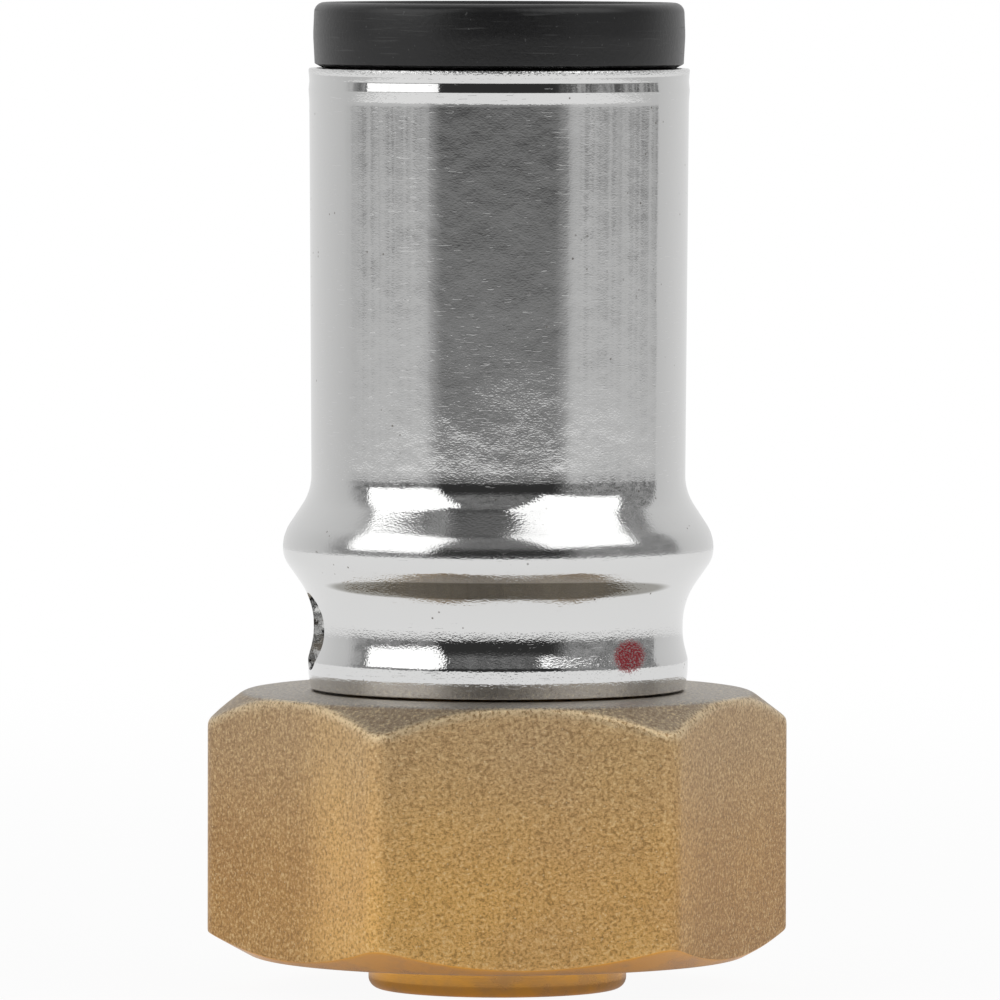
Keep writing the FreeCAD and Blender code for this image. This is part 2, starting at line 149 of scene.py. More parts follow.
class CouplingNut(bpy.types.PropertyGroup):
    """Sizes of the forged union nut."""
    across: length("Across Flats", "Width of the hexagon", 25.0)
    corner: length("Corner", "Radius of the hexagon's upright corners", 1.5)
    turn: angle("Turn", "Turn of the hexagon about the axis", 6.0)
    top_ring: length("Top Ring", "Radius where the upper chamfer starts", 12.35)
    top_chamfer: length("Top Chamfer", "Height of the upper chamfer at a corner", 1.4)
    bottom_ring: length("Bottom Ring", "Radius where the lower chamfer starts", 12.0)
    bottom_chamfer: length("Bottom Chamfer", "Height of the lower chamfer at a corner", 1.2)
    forged_edge: length("Forged Edge", "Softness of the upper edges", 0.22)
    turned_edge: length("Turned Edge", "Softness of the lower edges", 0.12)
    thread: length("Thread", "Radius of the thread's crests", 9.315)
    thread_depth: length("Thread Depth", "Depth of the thread", 1.165)
    pitch: length("Pitch", "Rise of the thread in one turn", 1.814)
    thread_top: length("Thread Top", "Height of the thread's end over the nut's mouth", 8.0)
    relief: length("Relief", "Radius of the run-out above the thread", 10.58)
    shoulder: length("Shoulder", "Thickness of the shoulder", 3.05)
    hole: length("Hole", "Radius of the hole in the shoulder", 7.68)


class CouplingRing(bpy.types.PropertyGroup):
    """Sizes of the plastic guide ring."""
    bore: length("Bore", "Radius of the bore", 8.1)
    lead: length("Lead", "Height of the bore's entry chamfer", 0.35)
    spigot: length("Spigot", "Radius of the part inside the sleeve", 8.45)
    spigot_taper: length("Spigot Taper", "Size of the chamfer under the spigot", 0.15)
    foot: length("Foot", "Radius at the ring's lower edge", 8.99)
    belly: length("Belly", "Radius at half height", 9.065)
    belly_height: length("Belly Height", "Height of the widest place over the sleeve", 1.6)
    top: length("Top", "Radius at the top", 9.0)
    top_round: length("Top Round", "Radius of the upper edge", 0.5)
    gap: length("Gap", "Height of the undercut over the sleeve's lip", 0.14)


class CouplingFinish(bpy.types.PropertyGroup):
    """Colours of the finishes, with a painted highlight, painted shade and a painted reflection
    among them.
    """
    steel: colour("Steel", "Stainless sheet", 0.74, 0.74, 0.735)
    ink: colour("Ink", "Marker dot on the sleeve", 0.36, 0.035, 0.045)
    brass: colour("Brass", "Blasted brass", 0.80, 0.47, 0.155)
    tarnish: colour("Tarnish", "Darker, pinker brass", 0.56, 0.33, 0.17)
    greyed: colour("Greyed Brass", "Duller brass near the nut's top", 0.50, 0.385, 0.26)
    top_face: colour("Top Face", "Grey skin on the nut's top", 0.42, 0.41, 0.395)
    chamfer: colour("Chamfer", "Grey skin on the nut's upper chamfer", 0.34, 0.28, 0.215)
    # Painted shade: darker, pinker brass on the flats facing left and right, where less light
    # falls.
    painted_side_shade: colour("Side Face", "Pinker, darker brass on the side flats", 0.45, 0.245, 0.09)
    # Painted highlight: a bright colour along the nut's upper chamfer edges, standing in for the
    # light that their rounding catches.
    painted_edge_highlight: colour("Painted Edge Highlight", "Bright metal on the nut's rubbed edges", 0.98, 0.80, 0.52)
    # Painted reflection: a dark olive band round the sheet under its bulge, standing in for the
    # nut's shaded top face mirrored there.
    stain_and_painted_reflection: colour("Painted Reflection", "Dark line round the sleeve under its bulge", 0.21, 0.20, 0.17)
    bright_brass: colour("Bright Brass", "Freshly turned brass", 0.84, 0.425, 0.09)
    black: colour("Black Plastic", "Moulded guide ring", 0.009, 0.009, 0.0095)
    brown: colour("Brown Plastic", "Moulded stop ring", 0.13, 0.035, 0.02)
    rubber: colour("Rubber", "O-rings", 0.012, 0.012, 0.012)


class CouplingStudio(bpy.types.PropertyGroup):
    """Camera, lights and floor."""
    distance: length("Distance", "Distance of the camera from the axis", 600.0)
    height: length("Height", "Height of the camera", 53.7)
    aim: length("Aim", "Height that the camera looks at", 23.84)
    aside: length("Aside", "How far beside the axis the camera looks", 0.083)
    lens: FloatProperty(name="Lens", description="Focal length", default=443.3, unit="CAMERA")
    roll: angle("Roll", "Roll of the camera", 0.12)
    floor: length("Floor", "Radius of the white table", 400.0)
    lamp_distance: length("Lamp Distance", "Distance of a soft box", 500.0)
    lamp_aim: length("Lamp Aim", "Height on the sleeve that the soft boxes face", 22.0)
    lamp_glow: amount("Lamp Glow", "Brightness of a soft box's face", 1.22, 100.0)
    table_glow: amount("Table Glow", "How white the table looks in a reflection", 0.76)


# ---------------------------------------------------------------- meshes

def rounded(corners, steps=10):
    """Points of an outline, where a corner is (radius, height) or (radius, height, rounding)."""
    points = []
    for place, corner in enumerate(corners):
        here = Vector(corner[:2])
        if len(corner) == 2:
            points.append(here)
            continue
        back = (Vector(corners[place - 1][:2]) - here).normalized()
        ahead = (Vector(corners[(place + 1) % len(corners)][:2]) - here).normalized()
        half = back.angle(ahead) / 2
        centre = here + (back + ahead).normalized() * corner[2] / math.sin(half)
        start = here + back * corner[2] / math.tan(half) - centre
        end = here + ahead * corner[2] / math.tan(half) - centre
        sweep = math.atan2(start.cross(end), start.dot(end))
        points += [centre + Matrix.Rotation(sweep * step / steps, 2) @ start
                   for step in range(steps + 1)]
    return points


def divided(points, longest, closed=False):
    """The same outline with further points where a run is longer than that."""
    ends = list(zip(points, points[1:]))
    if closed:
        ends.append((points[-1], points[0]))
    fine = []
    for start, end in ends:
        parts = max(1, math.ceil((end - start).length / longest))
        fine += [start.lerp(end, part / parts) for part in range(parts)]
    return fine if closed else fine + [points[-1]]


def spun(outline, closed=False, steps=FINE_STEPS):
    """A bmesh turned about the axis from an outline of (radius, height) points."""
    mesh = bmesh.new()
    points = [mesh.verts.new((radius, 0.0, height)) for radius, height in outline]
    lines = [mesh.edges.new(pair) for pair in zip(points, points[1:])]
    if closed:
        lines.append(mesh.edges.new((points[-1], points[0])))
    bmesh.ops.spin(mesh, geom=points + lines, cent=(0, 0, 0), axis=(0, 0, 1), dvec=(0, 0, 0),
                   angle=2 * math.pi, steps=steps, use_merge=True)
    bmesh.ops.remove_doubles(mesh, verts=mesh.verts, dist=1e-7)
    bmesh.ops.recalc_face_normals(mesh, faces=mesh.faces)
    return mesh


def piece(name, mesh, materials):
    """An object at the origin from a bmesh, which is used up."""
    data = bpy.data.meshes.new(name)
    mesh.to_mesh(data)
    mesh.free()
    for material in materials:
        data.materials.append(material)
    thing = bpy.data.objects.new(name, data)
    bpy.context.scene.collection.objects.link(thing)
    return thing


def smoothed(thing, sharp=35.0):
    """Smooth shading that keeps the edges sharper than that many degrees."""
    thing.data.shade_smooth()
    thing.data.set_sharp_from_angle(angle=math.radians(sharp))
    weigh = thing.modifiers.new("weigh", "WEIGHTED_NORMAL")
    weigh.keep_sharp = True
    return thing


def applied(thing):
    """The object with its modifiers made part of its mesh."""
    graph = bpy.context.evaluated_depsgraph_get()
    mesh = bpy.data.meshes.new_from_object(thing.evaluated_get(graph))
    thing.modifiers.clear()
    thing.data = mesh
    return thing


def mounted(thing, body, slot, *nodes):
    """The piece rides on its body and stands for its nodes."""
    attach(thing, body)
    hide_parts(*nodes)
    return thing


# ---------------------------------------------------------------- shaders

class Value:
    """A socket on which arithmetic adds the tree's own nodes."""

    def __init__(self, tree, socket):
        self.tree = tree
        self.socket = socket

    def math(self, operation, *others):
        """A Math node with this value as its first input."""
        inputs = dict(enumerate((self, *others)))
        return self.tree.node("ShaderNodeMath", {"operation": operation}, inputs)

    def __add__(self, other):
        return self.math("ADD", other)

    def __sub__(self, other):
        return self.math("SUBTRACT", other)

    def __mul__(self, other):
        return self.math("MULTIPLY", other)

    def __truediv__(self, other):
        return self.math("DIVIDE", other)

    def __rsub__(self, other):
        return self.tree.node("ShaderNodeMath", {"operation": "SUBTRACT"}, {0: other, 1: self})

    __radd__ = __add__
    __rmul__ = __mul__

    def ramp(self, start, end):
        """Smooth step from 0 at start to 1 at end."""
        if start > end:
            return 1.0 - self.ramp(end, start)
        settings = {"interpolation_type": "SMOOTHSTEP", "clamp": True}
        inputs = {"Value": self, "From Min": start, "From Max": end}
        return self.tree.node("ShaderNodeMapRange", settings, inputs)


class Tree:
    """Nodes of a material or of the world."""

    def __init__(self, owner):
        owner.use_nodes = True
        self.nodes = owner.node_tree.nodes
        self.links = owner.node_tree.links
        self.nodes.clear()

    def node(self, kind, settings=None, inputs=None, output=0):
        """A node of any kind: its settings first, then its inputs."""
        made = self.nodes.new(kind)
        for name, value in (settings or {}).items():
            setattr(made, name, value)
        for name, value in (inputs or {}).items():
            if isinstance(value, Value):
                self.links.new(value.socket, made.inputs[name])
            else:
                made.inputs[name].default_value = value
        return Value(self, made.outputs[output])

    def place(self):
        """Object coordinates in millimetres."""
        spot = self.node("ShaderNodeTexCoord", output="Object")
        return self.vector("MULTIPLY", spot, (1000.0, 1000.0, 1000.0))

    def stored(self, name):
        """A number that the mesh holds at each point."""
        return self.node("ShaderNodeAttribute", {"attribute_name": name}, None, "Fac")

    def vector(self, operation, *values, output=0):
        """A Vector Math node."""
        return self.node("ShaderNodeVectorMath", {"operation": operation},
                         dict(enumerate(values)), output)

    def parts(self, vector):
        """The three numbers of a vector."""
        split = self.node("ShaderNodeSeparateXYZ", None, {0: vector})
        return [Value(self, socket) for socket in split.socket.node.outputs]

    def noise(self, spot, scale, detail=2.0, roughness=0.5):
        """Soft noise from 0 to 1."""
        inputs = {"Vector": spot, "Scale": scale, "Detail": detail, "Roughness": roughness}
        return self.node("ShaderNodeTexNoise", None, inputs)

    def cells(self, spot, scale):
        """Distance from the nearest of many scattered points."""
        inputs = {"Vector": spot, "Scale": scale}
        return self.node("ShaderNodeTexVoronoi", None, inputs, "Distance")

    def blend(self, factor, first, second):
        """A colour between two others."""
        settings = {"data_type": "RGBA", "clamp_factor": True}
        return self.node("ShaderNodeMix", settings, {0: factor, 6: first, 7: second}, 2)

    def bump(self, height, distance, strength=1.0, under=None):
        """A relief of that height, on top of another one where it is given."""
        inputs = {"Height": height, "Distance": distance, "Strength": strength}
        if under is not None:
            inputs["Normal"] = under
        return self.node("ShaderNodeBump", None, inputs)

    def surface(self, **sockets):
        """A Principled shader as the material's surface."""
        inputs = {name.replace("_", " ").title(): value for name, value in sockets.items()}
        self.show(self.node("ShaderNodeBsdfPrincipled", None, inputs))

    def show(self, shader, kind="ShaderNodeOutputMaterial"):
        """The shader goes to the output."""
        made = self.nodes.new(kind)
        self.links.new(shader.socket, made.inputs["Surface"])


def opaque(rgb):
    """A colour property with its fourth number."""
    return (*rgb, 1.0)


def stainless(sizes, finish):
    """Rolled stainless sheet: near mirror, grained, with pits, scratches, an ink dot and a painted
    reflection band under the bulge.
    """
    material = bpy.data.materials.new("stainless_sheet")
    tree = Tree(material)
    spot = tree.place()
    x, y, z = tree.parts(spot)
    rolled = tree.vector("MULTIPLY", spot, (1.0, 1.0, 1.7))
    grain = tree.noise(rolled, 7.5, 1.0, 0.6)
    peel = tree.noise(spot, 0.9, 2.0, 0.5)
    wave = tree.noise(spot, 0.22, 1.0, 0.5)
    stain_and_painted_reflection = tree.noise(spot, 0.16, 3.0, 0.6)
    pits = tree.cells(spot, 1.6).ramp(0.12, 0.06) * tree.noise(spot, 0.35).ramp(0.54, 0.62)
    drawn = tree.vector("MULTIPLY", spot, (1.2, 1.2, 14.0))
    scratch = tree.noise(drawn, 0.9, 1.0).ramp(0.70, 0.74)
    wear = tree.blend(pits * 0.8, opaque(finish.steel), PIT_BROWN)
    lip = high("press_sleeve") / MM
    rim = z.ramp(lip - 0.35, lip - 0.1)

    foot = low("press_sleeve") / MM
    beside = x - sizes.dot_side / MM
    above = z - (foot + sizes.dot_height / MM)
    dot = (beside * beside + above * above + (grain - 0.5) * 1.1).ramp(0.70, 0.46)
    front = y.ramp(-1.0, -2.0)
    ink = dot * front * (grain.ramp(0.32, 0.52) * 0.65 + 0.35)
    # Painted reflection: the sheet's colour darkens to the olive band under the bulge, with pointed
    # ends at the sides.
    under = (z - (foot + sizes.line_height / MM)) / (sizes.line_half / MM)
    across = x / (sizes.line_reach / MM)
    line = (under * under + across * across * across * across).ramp(1.2, 0.8)
    lined = tree.blend(line * 0.75, wear, opaque(finish.stain_and_painted_reflection))
    tone = tree.blend(ink, lined, opaque(finish.ink))

    bulge = z.ramp(21.3, 21.7) * z.ramp(23.3, 22.7)
    rough = stain_and_painted_reflection * 0.03 + 0.035 + pits * 0.3 + bulge * 0.10
    broad = tree.bump(wave, 0.02 * MM)
    soft = tree.bump(peel, 0.006 * MM, 1.0, broad)
    marked = tree.bump(scratch, 0.002 * MM, 0.5, soft)
    formed = z.ramp(25.6, 24.2) * 0.5 + 0.15
    fine = tree.bump(grain * (formed + rim * 6.0), 0.008 * MM, 1.0, marked)
    tree.surface(base_color=tone, metallic=1.0 - ink * 0.7, roughness=rough + ink * 0.2,
                 normal=fine)
    return material


def blasted_brass(finish):
    """Forged brass after sand blasting: a dense, glittering grain, with painted shade on the side
    flats and a painted highlight on the upper edges.
    """
    material = bpy.data.materials.new("blasted_brass")
    tree = Tree(material)
    spot = tree.place()
    x, _, z = tree.parts(spot)
    grain = tree.noise(spot, 6.2, 3.0, 0.7)
    dust = tree.noise(spot, 11.0, 2.0, 0.6)
    patches = tree.noise(spot, 0.12, 3.0, 0.6)
    specks = tree.cells(spot, 3.4).ramp(0.16, 0.06)
    shade = tree.blend(patches.ramp(0.38, 0.70) * 0.35, opaque(finish.brass),
                       opaque(finish.tarnish))
    # Painted shade on the flats facing left and right, mixed with the random patches.
    aside = x.math("ABSOLUTE").ramp(7.6, 10.2) * (patches * 0.5 + 0.55)
    shade = tree.blend(aside, shade, opaque(finish.painted_side_shade))
    graded = tree.blend(z.ramp(5.0, 15.0) * 0.55, shade, opaque(finish.greyed))
    skin = tree.stored("chamfer")
    graded = tree.blend(skin * 0.85, graded, opaque(finish.chamfer))
    upper = tree.blend(z.ramp(14.35, 14.5) * 0.9, graded, opaque(finish.top_face))
    pitted = tree.blend(grain.ramp(0.52, 0.34) * 0.55, upper, BRASS_PIT)
    bright = tree.blend(grain.ramp(0.50, 0.68) * 0.45, pitted, BRASS_GLINT)
    lit = tree.blend(specks * 0.5, bright, BRASS_SPARK)
    # Painted highlight along the upper edges, fading out towards the bottom, with slightly lower
    # roughness there.
    edge = tree.stored("painted_edge_highlight")
    highlit = edge * grain.ramp(0.34, 0.54) * z.ramp(4.0, 10.0)
    lit = tree.blend(highlit * 0.6, lit, opaque(finish.painted_edge_highlight))
    coarse = tree.bump(grain, 0.055 * MM)
    fine = tree.bump(dust, 0.02 * MM, 1.0, coarse)
    tree.surface(base_color=lit, metallic=1.0, roughness=0.36 + dust * 0.12 - highlit * 0.1,
                 normal=fine)
    return material


def turned_brass(finish, name="turned_brass"):
    """Brass left by the lathe, with its fine rings and light streaks."""
    material = bpy.data.materials.new(name)
    tree = Tree(material)
    spot = tree.place()
    x, y, z = tree.parts(spot)
    out = tree.vector("LENGTH", tree.node("ShaderNodeCombineXYZ", None, {0: x, 1: y}), output=1)
    lathe = tree.node("ShaderNodeCombineXYZ", None, {0: out, 1: z})
    rings = tree.noise(lathe, 9.0, 2.0, 0.6)
    cloud = tree.noise(spot, 0.5, 3.0, 0.6)
    shade = tree.blend(cloud.ramp(0.4, 0.7) * 0.6, opaque(finish.bright_brass),
                       opaque(finish.tarnish))
    turned = tree.bump(rings, 0.004 * MM)
    tree.surface(base_color=shade, metallic=1.0, roughness=0.2 + cloud * 0.12, normal=turned)
    return material


def black_plastic(finish):
    """Moulded black plastic, matt, scuffed round its rim."""
    material = bpy.data.materials.new("black_plastic")
    tree = Tree(material)
    spot = tree.place()
    skin = tree.noise(spot, 5.0, 3.0, 0.6)
    along = tree.vector("MULTIPLY", spot, (0.35, 0.35, 9.0))
    scuff = tree.noise(along, 1.0, 2.0).ramp(0.60, 0.72)
    dust = tree.noise(spot, 6.0, 1.0).ramp(0.72, 0.80)
    tone = tree.blend(scuff * 0.25 + dust * 0.5, opaque(finish.black), BLACK_DUST)
    tree.surface(base_color=tone, roughness=0.27 + skin * 0.14 + scuff * 0.1,
                 normal=tree.bump(skin, 0.01 * MM))
    return material


def plain_moulding(name, rgb, roughness):
    """Moulded plastic or rubber with a light grain."""
    material = bpy.data.materials.new(name)
    tree = Tree(material)
    spot = tree.place()
    skin = tree.noise(spot, 4.0, 3.0, 0.6)
    tone = tree.blend(skin.ramp(0.3, 0.8) * 0.4, opaque(rgb), opaque([c * 0.6 for c in rgb]))
    tree.surface(base_color=tone, roughness=roughness + skin * 0.15,
                 normal=tree.bump(skin, 0.01 * MM))
    return material


# ---------------------------------------------------------------- pieces

class COUPLING_OT_sleeve(bpy.types.Operator):
    """Rolled stainless sleeve with its bulge, waist, windows and lip"""
    bl_idname = "coupling.sleeve"
    bl_label = "Press Sleeve"

    def execute(self, context):
        sizes = context.scene.coupling_sleeve
        finish = context.scene.coupling_finish
        foot = low("press_sleeve")
        top = high("press_sleeve")
        crest = foot + sizes.crest_height
        half_land = sizes.crest_land / 2
        over = crest + half_land + sizes.upper_crest * math.tan(sizes.upper_flank / 2)
        under = crest - half_land - sizes.lower_crest * math.tan(sizes.lower_flank / 2)
        waist = under - (sizes.crest - sizes.waist) / math.tan(sizes.lower_flank)
        barrel = over + (sizes.crest - sizes.barrel) / math.tan(sizes.upper_flank)
        flare = sizes.mouth + sizes.flare
        outline = rounded([
            (sizes.seat, foot),
            (sizes.foot - sizes.foot_taper, foot, sizes.foot_bend),
            (sizes.foot, foot + sizes.foot_band, sizes.foot_bend),
            (sizes.rim, foot + sizes.rim_height, sizes.rim_round),
            (sizes.waist, foot + sizes.slope_height, sizes.slope_sweep),
            (sizes.waist, waist, sizes.waist_sweep),
            (sizes.crest, under, sizes.lower_crest),
            (sizes.crest, over, sizes.upper_crest),
            (sizes.barrel, barrel, sizes.barrel_bend),
            (sizes.mouth, top - sizes.flare_height, 4 * MM),
            (flare, top - 1.7 * sizes.lip_height, 2 * sizes.lip_edge),
            (sizes.mouth, top - sizes.lip_height, 3 * sizes.lip_edge),
            (sizes.lip, top, sizes.lip_edge),
            (sizes.lip - 4 * sizes.lip_edge, top),
        ])
        sleeve = piece("rolled_sleeve", spun(divided(outline, 0.6 * MM)),
                       [stainless(sizes, finish)])
        wall = sleeve.modifiers.new("wall", "SOLIDIFY")
        wall.thickness = sizes.wall
        wall.offset = -1.0
        wall.use_even_offset = True

        drill = bmesh.new()
        turn = Matrix.Rotation(sizes.window_turn, 4, "Z") @ Matrix.Rotation(math.pi / 2, 4, "Y")
        centre = Matrix.Translation((0, 0, foot + sizes.window_height))
        bmesh.ops.create_cone(drill, cap_ends=True, segments=96, radius1=sizes.window,
                              radius2=sizes.window, depth=4 * sizes.foot, matrix=centre @ turn)
        cutter = piece("window_drill", drill, [])
        windows = sleeve.modifiers.new("windows", "BOOLEAN")
        windows.operation = "DIFFERENCE"
        windows.object = cutter
        windows.solver = "EXACT"
        smoothed(applied(sleeve))
        bpy.data.objects.remove(cutter)
        mounted(sleeve, "fitting", "stainless_sheet", "press_sleeve")
        return {"FINISHED"}


class COUPLING_OT_nut(bpy.types.Operator):
    """Forged hexagon nut with its thread, relief and shoulder"""
    bl_idname = "coupling.nut"
    bl_label = "Union Nut"

    def execute(self, context):
        sizes = context.scene.coupling_nut
        finish = context.scene.coupling_finish
        bottom = low("swivel_nut")
        top = high("swivel_nut")
        blank = 14.5 * MM       # radius of the round blank, past the hexagon's corners
        band = 1.0 * MM         # its closely divided ends, which become the chamfers
        fine = 0.16 * MM        # spacing of the points along the thread
        edge = 0.2 * MM         # small edge breaks inside
        lead = 0.15 * MM
        mouth = sizes.thread + sizes.thread_depth

        def steps(start, end, count):
            """Heights from start to end, closer together near both."""
            return [start + (end - start) * (1 - math.cos(math.pi * k / count)) / 2
                    for k in range(count + 1)]

        outline = [(blank, height) for height in
                   steps(bottom, bottom + band, 10)
                   + steps(bottom + band, top - band, 26)[1:-1]
                   + steps(top - band, top, 12)]
        outline += [(radius, top) for radius in steps(sizes.top_ring, sizes.hole + edge, 12)]
        outline += [(sizes.hole, top - edge), (sizes.hole, top - sizes.shoulder + lead),
                    (sizes.hole + lead, top - sizes.shoulder),
                    (sizes.relief - edge, top - sizes.shoulder),
                    (sizes.relief, top - sizes.shoulder - edge)]
        runout = bottom + sizes.thread_top + sizes.relief - sizes.thread
        outline += [(sizes.relief, runout)]
        count = round(sizes.thread_top / fine)
        outline += [(sizes.thread, bottom + sizes.thread_top * (1 - k / count))
                    for k in range(count)]
        outline += [(radius, bottom) for radius in
                    steps(mouth, sizes.bottom_ring, 8)[:-1]]
        mesh = spun([Vector(point) for point in outline], closed=True, steps=NUT_STEPS)
        mesh.verts.layers.float.new("painted_edge_highlight")
        mesh.verts.layers.float.new("chamfer")
        for face in mesh.faces:
            centre = face.calc_center_median()
            out = math.hypot(centre.x, centre.y)
            face.material_index = int(out < sizes.hole + 0.1 * MM or centre.z < bottom + TINY
                                      or (out > blank - band and centre.z < bottom + band)
                                      or (out < sizes.bottom_ring and centre.z < top - TINY))
        self.shape(mesh, sizes, bottom, top, blank, band)
        nut = piece("forged_nut", mesh, [blasted_brass(finish), turned_brass(finish, "nut_turned")])
        smoothed(nut, 40.0)
        mounted(nut, "nut", "blasted_brass", "swivel_nut")
        return {"FINISHED"}

    def shape(self, mesh, sizes, bottom, top, blank, band):
        """Move the blank's points onto the hexagon, its chamfers and the thread."""
        mesh.verts.ensure_lookup_table()
        spots = np.array([vert.co[:] for vert in mesh.verts])
        out = np.hypot(spots[:, 0], spots[:, 1])
        turn = np.arctan2(spots[:, 1], spots[:, 0])
        height = spots[:, 2].copy()
        turn = turn - 0.1 * np.sin(6 * (turn - sizes.turn))

        inset = sizes.across / 2 - sizes.corner
        half_side = inset * math.tan(math.pi / 6)
        side = np.mod(turn - sizes.turn, math.pi / 3) - math.pi / 6
        flat = (sizes.across / 2) / np.cos(side)
        corner_centre = inset / math.cos(math.pi / 6)
        off = math.pi / 6 - np.abs(side)
        bow = corner_centre * np.cos(off) + np.sqrt(
            np.maximum(sizes.corner ** 2 - (corner_centre * np.sin(off)) ** 2, 0))
        hexagon = np.where(flat * np.sin(np.abs(side)) > half_side, bow, flat)

        widest = corner_centre + sizes.corner
        low_slope = sizes.bottom_chamfer / (widest - sizes.bottom_ring)
        top_slope = sizes.top_chamfer / (widest - sizes.top_ring)
        low_edge = bottom + (hexagon - sizes.bottom_ring) * low_slope
        top_edge = top - (hexagon - sizes.top_ring) * top_slope

        outer = out > blank - 0.5 * MM
        part = np.clip((height - bottom) / band, 0, 1)
        low_zone = outer & (height < bottom + band)
        top_zone = outer & (height > top - band)
        share = (height - bottom - band) / (top - bottom - 2 * band)
        new_out = np.where(outer, hexagon, out)
        new_height = np.where(outer, low_edge + share * (top_edge - low_edge), height)
        new_out = np.where(low_zone, sizes.bottom_ring + part * (hexagon - sizes.bottom_ring),
                           new_out)
        new_height = np.where(low_zone, bottom + part * (low_edge - bottom), new_height)
        fall = np.clip((top - height) / band, 0, 1)
        new_out = np.where(top_zone, sizes.top_ring + fall * (hexagon - sizes.top_ring), new_out)
        new_height = np.where(top_zone, top - fall * (top - top_edge), new_height)

        def blend(first, second, width):
            """The larger of two distances, with a soft change over."""
            close = np.maximum(width - np.abs(first - second), 0) / width
            return np.maximum(first, second) + close * close * width / 4

        def surfaces(out, height):
            """Signed distances from the hexagon, the upper and the lower cone."""
            along = np.abs(out * np.sin(side))
            across = out * np.cos(side) - inset
            corner = np.where(along > half_side, np.hypot(across, along - half_side), across)
            top_tilt = 1 / math.hypot(1, top_slope)
            low_tilt = 1 / math.hypot(1, low_slope)
            top_cone = ((out - sizes.top_ring) * top_slope + height - top) * top_tilt
            low_cone = ((out - sizes.bottom_ring) * low_slope - height + bottom) * low_tilt
            return corner - sizes.corner, top_cone, low_cone

        def depth(out, height):
            """Signed distance from the softened block."""
            hexagon_side, top_cone, low_cone = surfaces(out, height)
            body = blend(hexagon_side, top_cone, sizes.forged_edge)
            body = blend(body, height - top, sizes.forged_edge)
            body = blend(body, low_cone, sizes.turned_edge)
            return blend(body, bottom - height, sizes.turned_edge)

        movable = outer | ((height > top - TINY) & (out > 11 * MM)) | (
            (height < bottom + TINY) & (out > 11.6 * MM))
        for _ in range(4):
            here = depth(new_out, new_height)
            slope_out = (depth(new_out + TINY, new_height) - here) / TINY
            slope_up = (depth(new_out, new_height + TINY) - here) / TINY
            scale = here / np.maximum(slope_out ** 2 + slope_up ** 2, 0.05)
            new_out = np.where(movable, new_out - slope_out * scale, new_out)
            new_height = np.where(movable, new_height - slope_up * scale, new_height)

        inner = (out < sizes.thread + TINY) & (height < bottom + sizes.thread_top + TINY)
        wave = (height - bottom) / sizes.pitch - turn / (2 * math.pi)
        groove = sizes.thread + sizes.thread_depth * (0.5 - 0.5 * np.cos(2 * math.pi * wave))
        fade = np.clip((bottom + sizes.thread_top - height) / (0.5 * MM), 0, 1)
        groove = sizes.thread + (groove - sizes.thread) * fade
        cone = sizes.thread + sizes.thread_depth - (height - bottom)
        new_out = np.where(inner, np.maximum(groove, cone), new_out)

        hexagon_side, top_cone, low_cone = surfaces(new_out, new_height)
        # Closeness to the edge between the flats and the upper chamfer, which carries the painted
        # highlight.
        highlit = np.exp(-((hexagon_side - top_cone) / sizes.forged_edge) ** 2) * outer
        coned = np.clip((top_cone - hexagon_side) / sizes.forged_edge, 0, 1) * outer
        painted_edge_highlight = mesh.verts.layers.float["painted_edge_highlight"]
        chamfer = mesh.verts.layers.float["chamfer"]
        rows = zip(mesh.verts, new_out, turn, new_height, highlit, coned)
        for vert, far, heading, level, highlight_share, cone in rows:
            vert.co = (far * math.cos(heading), far * math.sin(heading), level)
            vert[painted_edge_highlight] = highlight_share
            vert[chamfer] = cone


class COUPLING_OT_ring(bpy.types.Operator):
    """Plastic guide ring in the sleeve's mouth"""
    bl_idname = "coupling.ring"
    bl_label = "Guide Ring"

    def execute(self, context):
        sizes = context.scene.coupling_ring
        finish = context.scene.coupling_finish
        seat = high("press_sleeve")
        top = high("guide_ring")
        bottom = low("guide_ring")
        outline = rounded([
            (sizes.bore, bottom),
            (sizes.spigot - sizes.spigot_taper, bottom),
            (sizes.spigot, bottom + sizes.spigot_taper),
            (sizes.spigot, seat),
            (sizes.foot - 3 * sizes.gap, seat),
            (sizes.foot - sizes.gap, seat + sizes.gap),
            (sizes.foot, seat + 1.6 * sizes.gap, sizes.gap / 2),
            (sizes.belly, seat + sizes.belly_height, 6 * MM),
            (sizes.top, top, sizes.top_round),
            (sizes.bore + sizes.lead, top, sizes.lead / 2),
            (sizes.bore, top - sizes.lead, sizes.lead / 2),
        ], 8)
        ring = piece("moulded_guide_ring", spun(divided(outline, 0.5 * MM, True), True),
                     [black_plastic(finish)])
        smoothed(ring, 50.0)
        mounted(ring, "fitting", "black_plastic", "guide_ring")
        return {"FINISHED"}


class COUPLING_OT_inner_parts(bpy.types.Operator):
    """Finishes of the turned body, the stop ring and the O-rings"""
    bl_idname = "coupling.inner_parts"
    bl_label = "Body and Seals"

    def execute(self, context):
        finish = context.scene.coupling_finish
        rubber = plain_moulding("black_rubber", finish.rubber, 0.4)
        finishes = {
            "brass_body": turned_brass(finish),
            "stop_ring": plain_moulding("brown_plastic", finish.brown, 0.35),
            "nose_o_ring": rubber,
            "upper_tail_o_ring": rubber,
            "lower_tail_o_ring": rubber,
        }
        for node, material in finishes.items():
            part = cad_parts[node]
            for place in range(len(part.material_slots)):
                part.material_slots[place].material = material
        return {"FINISHED"}


